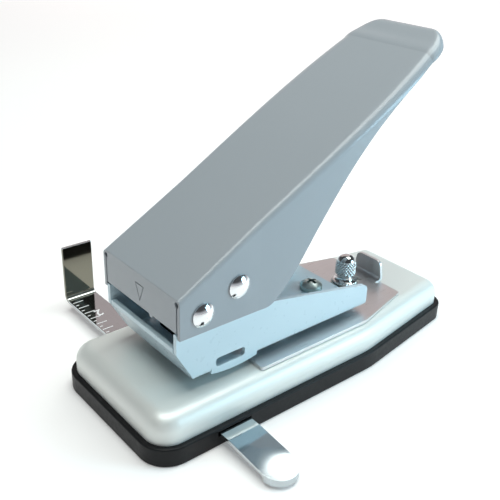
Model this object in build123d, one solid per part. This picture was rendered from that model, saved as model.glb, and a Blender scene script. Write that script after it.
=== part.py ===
from build123d import *

import math
import os

# Slot punch for identity cards: an enamelled base in a black chip tray, a folded
# frame that carries the punch, a folded hand lever, a side guide and a depth plate.
# Millimetres. +Z is up and z = 0 is the underside of the tray. -Y is the front,
# where the card goes in, and +Y is the rear, under the end of the hand lever.

# ---------------------------------------------------------------- driving sizes
# Clearances
run_clear = 0.05          # shaft in its hole, on the radius
fit_clear = 0.05          # piece let into another, each side
slide_gap = 0.1           # flat face that slides on a flat face
side_gap = 0.3            # lever flange beside the frame wall
slot_clear = 0.3          # spacer in a slot of the sliding plate
cut_over = 1.0            # how far a cutter stands out of what it cuts
near = 0.05               # how close a point lies to the place it is looked for

# Chip tray
tray_half_len = 76.6
tray_half_width = 32.0
tray_rear_half_width = 23.6
taper_start_y = 21.0      # where the sides begin to draw in
tray_front_radius = 10.5
tray_rear_radius = 8.0
taper_radius = 45.0
tray_height = 7.1
tray_floor = 2.0
tray_edge = 0.6           # rounding of the tray's rim and foot
rim_ledge = 2.0           # tray showing around the cover

# Enamelled cover
cover_top = 16.8
cover_wall = 1.5
cover_round = 6.0         # rolled top edge

# Bed plate inside the cover
bed_thick = 3.0
bed_inset = 7.4           # from the cover's skirt to the plate's edge
bed_front_y = -53.0
bed_rear_y = 46.0

# Punch, die and ram
punch_y = -38.0
slot_length = 14.0
slot_width = 3.0
die_clear = 0.05
die_length = 30.0
die_width = 12.0
die_thick = 3.0
die_screw_x = 11.0
die_screw_radius = 1.25
die_screw_length = 2.6
die_screw_head_radius = 2.3
die_screw_head_height = 1.6
die_corner = 0.5
chip_relief = 1.0
ridge_drop = 1.1          # pressed ridge under the frame, which strips the card
ridge_half = 9.8
blade_tip_lift = 0.3      # tip above the underside of the web at rest
blade_grip = 4.2          # tang held inside the shank
blade_hollow = 0.8        # hollow grinding of the tip
tang_length = 8.0
shank_radius = 4.5
shank_foot = 8.0          # shank's lower end above the web
head_foot = 23.6          # ram head's underside above the web
head_length = 14.0
head_width = 11.2
head_height = 11.8
head_round = 4.0          # top edges of the head, front and rear
head_edge = 0.8
blade_pin_radius = 0.8

# Guide block on the web
guide_length = 28.0
guide_width = 16.0
guide_height = 9.0
guide_screw_x = 10.8
guide_screw_radius = 1.5
guide_screw_head_radius = 2.7
guide_screw_head_height = 2.0
guide_corner = 2.0
guide_edge = 0.6

# Return spring
spring_wire = 1.3
spring_radius = 5.8
spring_turns = 6
spring_steps = 4          # pairs of arcs in a turn

# Frame
frame_half_width = 21.0
frame_wall = 1.6
frame_bend = 2.4
throat = 3.7              # card space between the cover and the frame
frame_front_y = -61.7
frame_foot_y = -54.5      # where the web starts to rise
frame_rear_y = 27.1
frame_lead_z = 33.3       # top of the slanted lead-in
frame_lip_top = 34.9
frame_front_top = 40.6
frame_step_y = -59.6
frame_ledge_z = 40.5      # wall top beneath the drive pin
frame_slope_y = -27.2
frame_rear_top = 29.9
frame_corner = 3.0
lip_seam = 0.5
ear_radius = 5.6
ear_spread = 3.0          # how far the ear's foot runs out to the rear
window_y = -39.8
window_length = 12.3
window_height = 3.4
window_lift = 2.0         # window's lower edge above the underside of the web
window_radius = 1.2

# Pins
pivot_y = -52.7
pivot_z = 46.0
drive_dy = 14.2           # drive pin from the pivot, with the lever up
drive_dz = 5.6
pin_radius = 2.5
pin_head_radius = 4.2
pin_head_height = 2.1
pin_head_edge = 0.4
pin_sleeve_wall = 1.1
press_degrees = 22.0

# Lever
lever_sheet = 1.5
lever_front_y = -61.6
lever_face_foot = 41.4
lever_top_y = -60.7
lever_top_z = 54.0
lever_slope = 29.8
lever_swell = [(-30.0, 0.0, 2.3), (-10.0, 0.8, 2.7), (10.0, 1.3, 3.2), (30.0, 1.0, 4.0)]  # y, extra, bend
lever_end_y = 60.7
lever_end_half_width = 22.5  # where the end's corners begin
lever_end_corner = 14.0  # radius of the end's corners, seen from above
lever_end_roll = 2.7  # radius of the roll at the top's end
lever_cap_turns = (0, 18, 36, 54, 68, 79)  # stations round a corner, in degrees
lever_front_bend = 1.7
lever_end_bend = 5.0
lever_seam = 0.7
seam_bite = 0.4           # how far the seam's cut runs into the flange's thickness
lever_notch_radius = 1.0
sweep_start = (-27.0, 39.5)   # flange's lower edge, as (y, z), from its straight part
sweep_points = [(-22.2, 41.6), (-14.2, 50.6), (-7.6, 60.4), (0.3, 71.7), (9.0, 82.8), (19.4, 93.5),
                (32.8, 103.9), (41.0, 109.0), (49.1, 113.8), (55.4, 116.8)]
sweep_end_z = 119.2
sweep_start_rise = 0.05
sweep_end_rise = 0.35
face_nub_x = 6.4
face_nub_radius = 1.0
mark_half_width = 2.4
mark_top_z = 49.6
mark_foot_z = 43.5
mark_groove = 0.35
mark_depth = 0.2

# Pan heads, as shares of the head's height or radius
pan_rim = 0.45            # upright part of the rim
recess_depth = 0.6
recess_span = 1.05
recess_width = 0.26

# Frame screws and spacers
screw_radius = 2.5
screw_head_radius = 4.5
screw_head_height = 3.6
spacer_radius = 3.6
rear_screw_y = 17.6
front_screw_x = 12.0
front_screw_y = -10.0

# Depth plate
plate_thick = 1.2
plate_half_width = 26.0
plate_front_y = -29.7
plate_taper_y = 22.8
plate_rear_y = 50.0
plate_rear_half_width = 19.1
plate_corner = 1.0
plate_forward = 6.0
plate_back = 10.0
tab_half_width = 7.5
tab_top_half_width = 6.3
tab_top_z = 26.2
tab_radius = 2.6
tab_bend = 1.2
tab_notch = 1.3
tab_notch_depth = 2.2

# Locking knob
knob_y = 37.2
knob_shank_radius = 2.5
knob_foot_radius = 5.3
knob_neck_radius = 3.2
knob_body_radius = 4.25
knob_crown_radius = 3.5
knob_foot_height = 1.5
knob_neck_height = 2.2
knob_body_height = 5.4
knob_crown_height = 3.2
knob_foot_rim = 0.9        # upright part of the foot
knob_foot_flare = 0.9      # foot's top edge beyond the neck
knob_neck_fillet = 0.8
knob_shoulder = 0.35       # rounding of the body's lower shoulder
knob_teeth = 24
knob_tooth_depth = 0.35
washer_radius = 5.6
washer_thick = 0.6
nut_flats = 8.0
nut_height = 4.0

# Side guide
strip_y = -46.0
strip_width = 13.0
strip_thick = 1.2
strip_top_z = 5.6
strip_far_x = -76.0
strip_upstand_top = 29.5
strip_bend = 2.0
tongue_bend_x = 37.0
tongue_tip_x = 60.5
tongue_slope = 5.0
tongue_lip = 1.8           # how far the round tip is drawn down
guide_slot_side = 0.5
guide_slot_height = 0.4
rail_width = 1.5
rail_height = 4.2
rail_gap = 0.15
rail_inner_x = 9.0
pad_inner_x = 20.0

# Guide leaf spring
leaf_thick = 0.5
leaf_half_width = 4.0
leaf_bow_x = 14.5
leaf_foot_x = 21.0
leaf_screw_x = 17.8
leaf_screw_radius = 1.25
leaf_screw_length = 2.6
leaf_screw_head_radius = 2.2
leaf_screw_head_height = 1.5

# ---------------------------------------------------------------- derived places
frame_foot = cover_top + throat
web_top = frame_foot + frame_wall
cover_half_width = tray_half_width - rim_ledge
bed_top = cover_top - cover_wall
bed_foot = bed_top - bed_thick
die_foot = cover_top - die_thick
plate_foot = cover_top + slide_gap
plate_top = plate_foot + plate_thick
frame_inner = frame_half_width - frame_wall
lever_half_width = frame_half_width + side_gap + lever_sheet
drive_y = pivot_y + drive_dy
drive_z = pivot_z + drive_dz
guide_top = web_top + guide_height
slope_tan = math.tan(math.radians(lever_slope))
slope_sin = math.sin(math.radians(lever_slope))
slope_cos = math.cos(math.radians(lever_slope))
sleeve_radius = pin_radius + pin_sleeve_wall
screw_spots = [(0, rear_screw_y), (front_screw_x, front_screw_y), (-front_screw_x, front_screw_y)]

# The drive pin swings on a circle about the pivot, so the ram's eye is a slot.
drive_arm = math.hypot(drive_dy, drive_dz)
drive_angle = math.atan2(drive_dz, drive_dy)
press_angle = math.radians(press_degrees)
ram_travel = drive_arm * (math.sin(drive_angle) - math.sin(drive_angle - press_angle))
eye_travel = drive_arm - drive_dy


# ---------------------------------------------------------------- helpers
def block(x_low, x_high, y_low, y_high, z_low, z_high):
    """A box between two corners."""
    middle = ((x_low + x_high) / 2, (y_low + y_high) / 2, (z_low + z_high) / 2)
    return Pos(*middle) * Box(x_high - x_low, y_high - y_low, z_high - z_low)


def rod(radius, x, y, z_low, z_high):
    """An upright cylinder."""
    return Pos(x, y, z_low) * Cylinder(radius, z_high - z_low, align=(Align.CENTER, Align.CENTER, Align.MIN))


def cross_rod(radius, x_low, x_high, y, z):
    """A cylinder lying along X."""
    middle = Pos((x_low + x_high) / 2, y, z)
    return middle * Rot(0, 90, 0) * Cylinder(radius, x_high - x_low)


def upright_slot(length, width, x, y, z_low, z_high, along_y=False):
    """A round-ended slot, cut or filled from z_low to z_high."""
    turn = 90 if along_y else 0
    outline = Pos(x, y, z_low) * Rot(0, 0, turn) * SlotOverall(length, width)
    return extrude(outline, z_high - z_low)


def bore(radius, x, y, z_low, z_high):
    """An upright cutter that stands out past both faces."""
    return rod(radius, x, y, z_low - cut_over, z_high + cut_over)


def slot_bore(length, width, x, y, z_low, z_high, along_y=False):
    """A round-ended cutter that stands out past both faces."""
    return upright_slot(length, width, x, y, z_low - cut_over, z_high + cut_over, along_y)


def cross_bore(radius, half_length, y, z):
    """A cutter along X, through a piece that is even about the middle."""
    return cross_rod(radius, -half_length - cut_over, half_length + cut_over, y, z)


def side_solid(face, x_low, x_high):
    """A solid with a side outline, drawn as (y, z), between two x values."""
    return extrude(Plane.YZ.offset(x_low) * face, x_high - x_low)


def plan_outline(inset, front_radius, rear_radius):
    """The base's outline in plan, drawn in from the tray's edge."""
    half_len = tray_half_len - inset
    half_width = tray_half_width - inset
    rear_half_width = tray_rear_half_width - inset
    taper_y = taper_start_y
    corners = [
        (-half_width, -half_len),
        (half_width, -half_len),
        (half_width, taper_y),
        (rear_half_width, half_len),
        (-rear_half_width, half_len),
        (-half_width, taper_y),
    ]
    outline = make_face(Polyline(*corners, close=True))
    points = outline.vertices().sort_by(Axis.Y)
    outline = fillet(points[0:2], front_radius)
    points = outline.vertices().filter_by_position(Axis.Y, taper_y - near, taper_y + near)
    outline = fillet(points, taper_radius)
    points = outline.vertices().sort_by(Axis.Y)[-2:]
    return fillet(points, rear_radius)


def crown_arc(radius, foot, top):
    """Arc of a ball from the rim of a crown to its top on the axis, as (radius, height)."""
    rise = top - foot
    ball = (radius ** 2 + rise ** 2) / (2 * rise)
    half_angle = math.acos(1 - rise / ball) / 2
    middle = (ball * math.sin(half_angle), top - ball * (1 - math.cos(half_angle)))
    return ThreePointArc((radius, foot), middle, (0, top))


def pan_screw(x, y, seat_z, head_radius, head_rise, thread_radius, thread_length, upward=False):
    """A cross-recess pan-head screw, its shank pointing down, or up."""
    rim = head_rise * pan_rim
    profile = make_face(
        Polyline((0, head_rise), (0, 0), (head_radius, 0), (head_radius, rim))
        + crown_arc(head_radius, rim, head_rise)
    )
    head = revolve(Plane.XZ * profile, Axis.Z)
    shank = rod(thread_radius, 0, 0, -thread_length, 0)
    span = head_radius * recess_span
    width = head_radius * recess_width
    recess_foot = head_rise * (1 - recess_depth)
    bar_along = block(-span / 2, span / 2, -width / 2, width / 2, recess_foot, head_rise + cut_over)
    bar_across = Rot(0, 0, 90) * bar_along
    screw = head + shank - bar_along - bar_across
    if upward:
        screw = Rot(180, 0, 0) * screw
    return Pos(x, y, seat_z) * screw


# ---------------------------------------------------------------- base
def base_shell_solid(inset, foot_z, top_z, round_radius):
    """The cover's rounded form, filled, for its outside or its inside."""
    front_radius = tray_front_radius - inset
    rear_radius = tray_rear_radius - inset
    form = extrude(Pos(0, 0, foot_z) * plan_outline(inset, front_radius, rear_radius), top_z - foot_z)
    return fillet(form.faces().sort_by(Axis.Z)[-1].edges(), round_radius)


def guide_slot(side, wall_inner, wall_outer):
    """The opening that lets the side guide through a wall on one side."""
    x_low, x_high = sorted((side * (wall_inner - cut_over), side * (wall_outer + cut_over)))
    half = strip_width / 2 + guide_slot_side
    z_low = strip_top_z - strip_thick - guide_slot_height
    return block(x_low, x_high, strip_y - half, strip_y + half, z_low, strip_top_z + guide_slot_height)


def make_base_tray():
    """Black tray that holds the chips, with moulded rails for the side guide."""
    body = extrude(plan_outline(0, tray_front_radius, tray_rear_radius), tray_height)
    rims = body.faces().sort_by(Axis.Z)
    body = fillet(rims[0].edges() + rims[-1].edges(), tray_edge)
    inner_inset = rim_ledge - fit_clear
    cavity = extrude(
        Pos(0, 0, tray_floor)
        * plan_outline(inner_inset, tray_front_radius - inner_inset, tray_rear_radius - inner_inset),
        tray_height,
    )
    tray = body - cavity
    rail_outer_x = cover_half_width - cover_wall - rail_gap
    rail_y = strip_width / 2 + rail_gap
    for side in (-1, 1):
        x_low, x_high = sorted((side * rail_inner_x, side * rail_outer_x))
        for edge in (-1, 1):
            y_low, y_high = sorted((strip_y + edge * rail_y, strip_y + edge * (rail_y + rail_width)))
            tray += block(x_low, x_high, y_low, y_high, tray_floor, tray_floor + rail_height)
        pad_low, pad_high = sorted((side * pad_inner_x, side * rail_outer_x))
        pad_top = strip_top_z - strip_thick - slide_gap
        tray += block(pad_low, pad_high, strip_y - rail_y, strip_y + rail_y, tray_floor, pad_top)
        tray -= guide_slot(side, cover_half_width, tray_half_width)
    return tray


def make_base_cover():
    """Drawn steel cover with a rolled edge, open beneath."""
    skirt_foot = tray_floor + fit_clear
    outer = base_shell_solid(rim_ledge, skirt_foot, cover_top, cover_round)
    inner = base_shell_solid(rim_ledge + cover_wall, skirt_foot - cut_over, bed_top, cover_round - cover_wall)
    cover = outer - inner
    cover -= block(
        -die_length / 2 - fit_clear, die_length / 2 + fit_clear,
        punch_y - die_width / 2 - fit_clear, punch_y + die_width / 2 + fit_clear,
        bed_foot, cover_top + cut_over,
    )
    for x, y in screw_spots:
        cover -= rod(screw_radius + run_clear, x, y, bed_foot, cover_top + cut_over)
    cover -= rod(knob_shank_radius + run_clear, 0, knob_y, bed_foot, cover_top + cut_over)
    for side in (-1, 1):
        cover -= guide_slot(side, cover_half_width - cover_wall, cover_half_width)
    return cover


def make_bed_plate():
    """Thick steel plate under the cover's top, which the frame screws pull up."""
    inset = rim_ledge + bed_inset
    outline = plan_outline(inset, cover_wall, cover_wall)
    plate = extrude(Pos(0, 0, bed_foot) * outline, bed_thick)
    plate &= block(-tray_half_width, tray_half_width, bed_front_y, bed_rear_y, bed_foot, bed_top)
    plate -= block(
        -die_length / 2 - fit_clear, die_length / 2 + fit_clear,
        punch_y - die_width / 2 - fit_clear, punch_y + die_width / 2 + fit_clear,
        die_foot, cover_top,
    )
    chip_length = slot_length + 2 * chip_relief
    plate -= slot_bore(chip_length, slot_width + 2 * chip_relief, 0, punch_y, bed_foot, die_foot)
    for side in (-1, 1):
        plate -= bore(die_screw_radius + run_clear, side * die_screw_x, punch_y, bed_foot, die_foot)
        plate -= bore(leaf_screw_radius + run_clear, side * leaf_screw_x, strip_y, bed_foot, bed_top)
    for x, y in screw_spots:
        plate -= bore(screw_radius + run_clear, x, y, bed_foot, bed_top)
    plate -= bore(knob_shank_radius + run_clear, 0, knob_y, bed_foot, bed_top)
    return plate


def make_die_plate():
    """Hardened die let in flush with the cover, with the slot the punch enters."""
    die = block(
        -die_length / 2, die_length / 2,
        punch_y - die_width / 2, punch_y + die_width / 2,
        die_foot, cover_top,
    )
    upright = die.edges().filter_by(Axis.Z)
    die = fillet(upright, die_corner)
    die -= slot_bore(slot_length + 2 * die_clear, slot_width + 2 * die_clear, 0, punch_y, die_foot, cover_top)
    for side in (-1, 1):
        die -= rod(die_screw_radius + run_clear, side * die_screw_x, punch_y, die_foot - cut_over,
                   bed_foot + die_screw_length + slide_gap)
    return die


def make_die_screws():
    """Two screws that hold the die from below."""
    return [
        pan_screw(side * die_screw_x, punch_y, bed_foot, die_screw_head_radius, die_screw_head_height,
                  die_screw_radius, die_screw_length, upward=True)
        for side in (-1, 1)
    ]


def make_frame_spacers():
    """Three collars that carry the frame above the cover."""
    return [
        rod(spacer_radius, x, y, cover_top, frame_foot)
        - bore(screw_radius + run_clear, x, y, cover_top, frame_foot)
        for x, y in screw_spots
    ]


def make_frame_screws():
    """Three pan-head screws through the web, the spacers and the bed plate."""
    length = web_top - bed_foot
    return [
        pan_screw(x, y, web_top, screw_head_radius, screw_head_height, screw_radius, length)
        for x, y in screw_spots
    ]


# ---------------------------------------------------------------- frame
def frame_side_outline():
    """The frame's side outline, as (y, z)."""
    ridge_mid = punch_y
    lower = [
        Line((frame_rear_y, frame_foot), (ridge_mid + ridge_half, frame_foot)),
        ThreePointArc(
            (ridge_mid + ridge_half, frame_foot),
            (ridge_mid, frame_foot - ridge_drop),
            (ridge_mid - ridge_half, frame_foot),
        ),
        Line((ridge_mid - ridge_half, frame_foot), (frame_foot_y, frame_foot)),
    ]
    upper = Polyline(
        (frame_foot_y, frame_foot),
        (frame_front_y, frame_lead_z),
        (frame_front_y, frame_front_top),
        (frame_step_y, frame_front_top),
        (frame_slope_y, frame_ledge_z),
        (frame_rear_y, frame_rear_top),
        (frame_rear_y, frame_foot),
    )
    outline = make_face(Curve() + lower + upper)
    rear_top = outline.vertices().filter_by_position(Axis.Y, frame_rear_top - near, frame_rear_top + near)
    return fillet(rear_top, frame_corner)


def make_punch_frame():
    """Folded channel: web, two walls with pivot ears, and a lead-in lip at the mouth."""
    length = frame_rear_y - frame_front_y
    tall = pivot_z + 2 * ear_radius
    section = make_face(Polyline(
        (-frame_half_width, tall),
        (-frame_half_width, frame_foot - ridge_drop),
        (frame_half_width, frame_foot - ridge_drop),
        (frame_half_width, tall),
        close=True,
    ))
    inner_section = make_face(Polyline(
        (-frame_inner, tall + cut_over),
        (-frame_inner, web_top),
        (frame_inner, web_top),
        (frame_inner, tall + cut_over),
        close=True,
    ))
    inner_corners = inner_section.vertices().sort_by(Axis.Y)[0:2]
    inner_section = fillet(inner_corners, frame_bend - frame_wall)
    channel = section - inner_section
    body = extrude(Plane.XZ.offset(-frame_rear_y) * channel, length)

    outline = frame_side_outline()
    ear = Pos(pivot_y, pivot_z) * Circle(ear_radius)
    ear_foot = make_face(Polyline(
        (pivot_y - ear_radius, pivot_z),
        (frame_step_y, frame_ledge_z - cut_over),
        (pivot_y + ear_radius + ear_spread, frame_ledge_z - cut_over),
        (pivot_y + ear_radius, pivot_z),
        close=True,
    ))
    body &= side_solid(outline + ear + ear_foot, -frame_half_width, frame_half_width)

    # The web is cut back to the lead-in's slant, and the lip is folded up from it.
    slant = math.atan2(frame_lead_z - frame_foot, frame_foot_y - frame_front_y)
    back = frame_wall / math.tan((math.pi - slant) / 2)
    inner_foot = (frame_foot_y + frame_wall * math.tan(slant / 2), web_top)
    inner_bend_z = frame_lead_z + frame_wall * math.tan((math.pi / 2 - slant) / 2)
    lip_profile = make_face(Polyline(
        (frame_foot_y, frame_foot),
        (frame_front_y, frame_lead_z),
        (frame_front_y, frame_lip_top),
        (frame_front_y + frame_wall, frame_lip_top),
        (frame_front_y + frame_wall, inner_bend_z),
        inner_foot,
        (inner_foot[0] + back, frame_foot),
        close=True,
    ))
    mouth = frame_inner - lip_seam
    seam_profile = make_face(Polyline(
        (frame_foot_y - lip_seam, frame_foot - cut_over),
        (frame_front_y - cut_over, frame_foot - cut_over),
        (frame_front_y - cut_over, frame_lip_top + cut_over),
        (frame_front_y + frame_wall + lip_seam, frame_lip_top + cut_over),
        (frame_front_y + frame_wall + lip_seam, inner_bend_z),
        (inner_foot[0] + lip_seam, web_top + lip_seam),
        close=True,
    ))
    body -= side_solid(seam_profile, -frame_inner, frame_inner)
    body += side_solid(lip_profile, -mouth, mouth)

    # Rounded folds along both lower edges of the channel, except at the ridge.
    fold_z = frame_foot + frame_bend
    for side in (-1, 1):
        fold_x = side * (frame_half_width - frame_bend)
        x_low, x_high = sorted((fold_x, side * (frame_half_width + cut_over)))
        corner = block(x_low, x_high, frame_front_y, frame_rear_y, frame_foot - 2 * ridge_drop, fold_z)
        corner -= Pos(fold_x, (frame_front_y + frame_rear_y) / 2, fold_z) * Rot(90, 0, 0) * Cylinder(
            frame_bend, length + 2 * cut_over)
        corner -= block(x_low, x_high, punch_y - ridge_half, punch_y + ridge_half,
                        frame_foot - 2 * ridge_drop, fold_z)
        body -= corner

    # Holes: pivot, guide slot for the blade, screws and the two wall windows.
    body -= cross_bore(pin_radius + run_clear, frame_half_width, pivot_y, pivot_z)
    body -= slot_bore(slot_length + 4 * die_clear, slot_width + 4 * die_clear, 0, punch_y,
                      frame_foot - ridge_drop, web_top)
    for x, y in screw_spots:
        body -= bore(screw_radius + run_clear, x, y, frame_foot, web_top)
    for side in (-1, 1):
        body -= bore(guide_screw_radius + run_clear, side * guide_screw_x, punch_y,
                     frame_foot - ridge_drop, web_top)
    window_z = frame_foot + window_lift + window_height / 2
    window = Pos(window_y, window_z) * RectangleRounded(window_length, window_height, window_radius)
    body -= side_solid(window, -frame_half_width - cut_over, frame_half_width + cut_over)
    return body


def make_punch_guide():
    """Steel block on the web that guides the shank and the blade."""
    guide = block(
        -guide_length / 2, guide_length / 2,
        punch_y - guide_width / 2, punch_y + guide_width / 2,
        web_top, guide_top,
    )
    guide = fillet(guide.edges().filter_by(Axis.Z), guide_corner)
    guide = chamfer(guide.faces().sort_by(Axis.Z)[-1].edges(), guide_edge)
    guide -= bore(shank_radius + run_clear, 0, punch_y, web_top, guide_top)
    guide -= slot_bore(slot_length + 2 * run_clear, slot_width + 2 * run_clear, 0, punch_y,
                       web_top, guide_top)
    for side in (-1, 1):
        guide -= bore(guide_screw_radius + run_clear, side * guide_screw_x, punch_y, web_top, guide_top)
    return guide


def make_guide_screws():
    """Two screws that hold the guide block to the web."""
    return [
        pan_screw(side * guide_screw_x, punch_y, guide_top, guide_screw_head_radius, guide_screw_head_height,
                  guide_screw_radius, guide_height + frame_wall)
        for side in (-1, 1)
    ]


# ---------------------------------------------------------------- pins
def pin_with_heads(y, z):
    """Round pin across the lever, with a domed head outside each flange."""
    reach = lever_half_width + slide_gap
    rim = reach + pin_head_edge
    crown = reach + pin_head_height
    half_profile = make_face(
        Polyline((0, 0), (pin_radius, 0), (pin_radius, reach))
        + Polyline((pin_radius, reach), (pin_head_radius, reach), (pin_head_radius, rim))
        + crown_arc(pin_head_radius, rim, crown)
        + Line((0, crown), (0, 0))
    )
    half = revolve(Plane.XZ * half_profile, Axis.Z)
    return Pos(0, y, z) * (Rot(0, 90, 0) * half + Rot(0, -90, 0) * half)


def sleeve(x_low, x_high, y, z):
    """Tube on a pin."""
    return cross_rod(sleeve_radius, x_low, x_high, y, z) - cross_rod(
        pin_radius + run_clear, x_low - cut_over, x_high + cut_over, y, z)


def make_pivot_spacer():
    """Tube on the pivot pin, which keeps the frame walls apart."""
    return sleeve(-frame_inner, frame_inner, pivot_y, pivot_z)


def make_drive_spacers():
    """Two tubes on the drive pin, which keep the ram in the middle of the lever."""
    inner_x = head_length / 2 + side_gap
    outer_x = lever_half_width - lever_sheet
    return [
        sleeve(*sorted((side * inner_x, side * outer_x)), drive_y, drive_z)
        for side in (-1, 1)
    ]


# ---------------------------------------------------------------- ram
def make_punch_ram():
    """Ram: a flat-sided head with a slotted eye, on a round shank split for the blade."""
    head_low = web_top + head_foot
    head = block(-head_length / 2, head_length / 2, punch_y - head_width / 2, punch_y + head_width / 2,
                 head_low, head_low + head_height)
    head = fillet(head.edges().filter_by(Axis.X).group_by(Axis.Z)[-1], head_round)
    head = chamfer(head.edges().filter_by(Axis.X).group_by(Axis.Z)[0], head_edge)
    shank_low = web_top + shank_foot
    shank = rod(shank_radius, 0, punch_y, shank_low, head_low)
    ram = head + shank
    eye_height = 2 * (pin_radius + 2 * run_clear)
    eye_length = eye_height + eye_travel
    eye = Pos(drive_y + eye_travel / 2, drive_z) * SlotOverall(eye_length, eye_height)
    ram -= side_solid(eye, -head_length / 2 - cut_over, head_length / 2 + cut_over)
    fork = slot_width / 2 + fit_clear
    ram -= block(-shank_radius - cut_over, shank_radius + cut_over, punch_y - fork, punch_y + fork,
                 shank_low - cut_over, shank_low + blade_grip + fit_clear)
    hole_radius = blade_pin_radius + run_clear / 2
    hole_spot = Pos(0, punch_y, shank_low + blade_grip / 2)
    hole = hole_spot * Rot(90, 0, 0) * Cylinder(hole_radius, 3 * shank_radius)
    return ram - hole


def make_punch_blade():
    """Slot-shaped blade with a hollow-ground tip, and a narrow tang held in the shank's fork."""
    tip = frame_foot + blade_tip_lift
    shoulder = web_top + shank_foot
    blade = upright_slot(slot_length, slot_width, 0, punch_y, tip, shoulder)
    blade += block(-tang_length / 2, tang_length / 2, punch_y - slot_width / 2, punch_y + slot_width / 2,
                   shoulder - cut_over, shoulder + blade_grip)
    bow = make_face(
        ThreePointArc((-slot_length / 2, tip), (0, tip + blade_hollow), (slot_length / 2, tip))
        + Line((slot_length / 2, tip), (-slot_length / 2, tip))
    )
    blade -= extrude(Plane.XZ.offset(-punch_y) * bow, slot_width, both=True)
    pin_z = shoulder + blade_grip / 2
    hole = Pos(0, punch_y, pin_z) * Rot(90, 0, 0) * Cylinder(blade_pin_radius + run_clear / 2, 2 * slot_width)
    return blade - hole


def make_blade_pin():
    """Cross pin through the shank's fork and the blade."""
    pin_z = web_top + shank_foot + blade_grip / 2
    length = 2 * math.sqrt(shank_radius ** 2 - blade_pin_radius ** 2)
    return Pos(0, punch_y, pin_z) * Rot(90, 0, 0) * Cylinder(blade_pin_radius, length)


def helix_point(turn_count, start_z, pitch):
    """A point of the spring's centre line, and its tangent, after some turns."""
    angle = 2 * math.pi * turn_count
    point = Vector(
        spring_radius * math.cos(angle),
        punch_y + spring_radius * math.sin(angle),
        start_z + pitch * turn_count,
    )
    tangent = Vector(
        -2 * math.pi * spring_radius * math.sin(angle),
        2 * math.pi * spring_radius * math.cos(angle),
        pitch,
    ).normalized()
    return point, tangent


def biarc(start, start_tangent, end, end_tangent):
    """Two arcs that join two points with given tangents."""
    chord = end - start
    total = start_tangent + end_tangent
    a = 2 * (1 - start_tangent.dot(end_tangent))
    b = 2 * chord.dot(total)
    c = -chord.dot(chord)
    reach = (-b + math.sqrt(b * b - 4 * a * c)) / (2 * a)
    joint = (start + start_tangent * reach + end - end_tangent * reach) * 0.5
    first = Edge.make_tangent_arc(start, start_tangent, joint)
    middle = first @ 1
    second = Edge.make_tangent_arc(middle, first % 1, end)
    return [first, second]


def make_return_spring():
    """Compression spring between the guide block and the ram's head."""
    low = guide_top + spring_wire / 2 + slide_gap
    high = web_top + head_foot - spring_wire / 2 - slide_gap
    pitch = (high - low) / spring_turns
    steps = spring_turns * spring_steps
    edges = []
    for step in range(steps):
        start, start_tangent = helix_point(step / spring_steps, low, pitch)
        end, end_tangent = helix_point((step + 1) / spring_steps, low, pitch)
        edges += biarc(start, start_tangent, end, end_tangent)
    path = Wire(edges)
    section = Plane(origin=path @ 0, z_dir=path % 0) * Circle(spring_wire / 2)
    print("return spring: least gap between turns", round(pitch - spring_wire, 2))
    return sweep(section, path)


# ---------------------------------------------------------------- lever
def lever_top_at(y, inset):
    """Height of the lever's outer or inner top at y, down the roll at its end."""
    roll = lever_end_roll - inset
    roll_y = lever_end_y - lever_end_roll
    if y <= roll_y - roll * slope_sin:
        return lever_top_z + (y - lever_top_y) * slope_tan - inset / slope_cos
    roll_z = lever_top_z + (roll_y - lever_top_y) * slope_tan - lever_end_roll / slope_cos
    return roll_z + math.sqrt(roll**2 - (y - roll_y) ** 2)


def lever_section(y, outer_half_width, outer_bend, inset):
    """The lever's outer or inner cross-section at y: a flat top with two rounded shoulders."""
    half_width = outer_half_width - inset
    bend = outer_bend - inset
    top = lever_top_at(y, inset)
    foot = frame_foot
    flat = half_width - bend
    diagonal = bend * math.sqrt(0.5)
    lines = [
        Line((-half_width, foot), (-half_width, top - bend)),
        ThreePointArc((-half_width, top - bend), (-flat - diagonal, top - bend + diagonal), (-flat, top)),
        Line((-flat, top), (flat, top)),
        ThreePointArc((flat, top), (flat + diagonal, top - bend + diagonal), (half_width, top - bend)),
        Line((half_width, top - bend), (half_width, foot)),
        Line((half_width, foot), (-half_width, foot)),
    ]
    return Plane.XZ.offset(-y) * make_face(Curve() + lines)


def lever_cap_sections(inset):
    """Sections of the lever's end, where its sides turn in round the corners."""
    corner_y = lever_end_y - lever_end_corner
    corner = lever_end_corner - inset
    sections = []
    for turn in lever_cap_turns:
        y = corner_y + corner * math.sin(math.radians(turn))
        half_width = lever_end_half_width - corner * (1 - math.cos(math.radians(turn)))
        sections.append(lever_section(y, half_width, lever_end_bend, inset))
    return sections


def lever_form(inset):
    """The lever's outer or inner form, which swells behind the pins as its shoulder bends grow."""
    front = lever_section(lever_front_y + inset, lever_half_width, lever_front_bend, inset)
    swell = [lever_section(y, lever_half_width + extra, bend, inset) for y, extra, bend in lever_swell]
    cap = lever_cap_sections(inset)
    return loft([front, swell[0]], ruled=True) + loft([*swell, cap[0]]) + loft(cap)


def lever_side_outline():
    """The lever's side outline below the top, as (y, z): the flange's lower edge."""
    front_foot = (lever_front_y - cut_over, sweep_start[1])
    sweep_end = (lever_end_y + cut_over, sweep_end_z)
    rise = Spline(sweep_start, *sweep_points, sweep_end,
                  tangents=((1, sweep_start_rise), (1, sweep_end_rise)))
    tall = lever_top_z + (lever_end_y - lever_top_y) * slope_tan + lever_end_bend
    return make_face(
        Line(front_foot, sweep_start)
        + rise
        + Polyline(sweep_end, (sweep_end[0], tall), (front_foot[0], tall), front_foot)
    )


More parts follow.
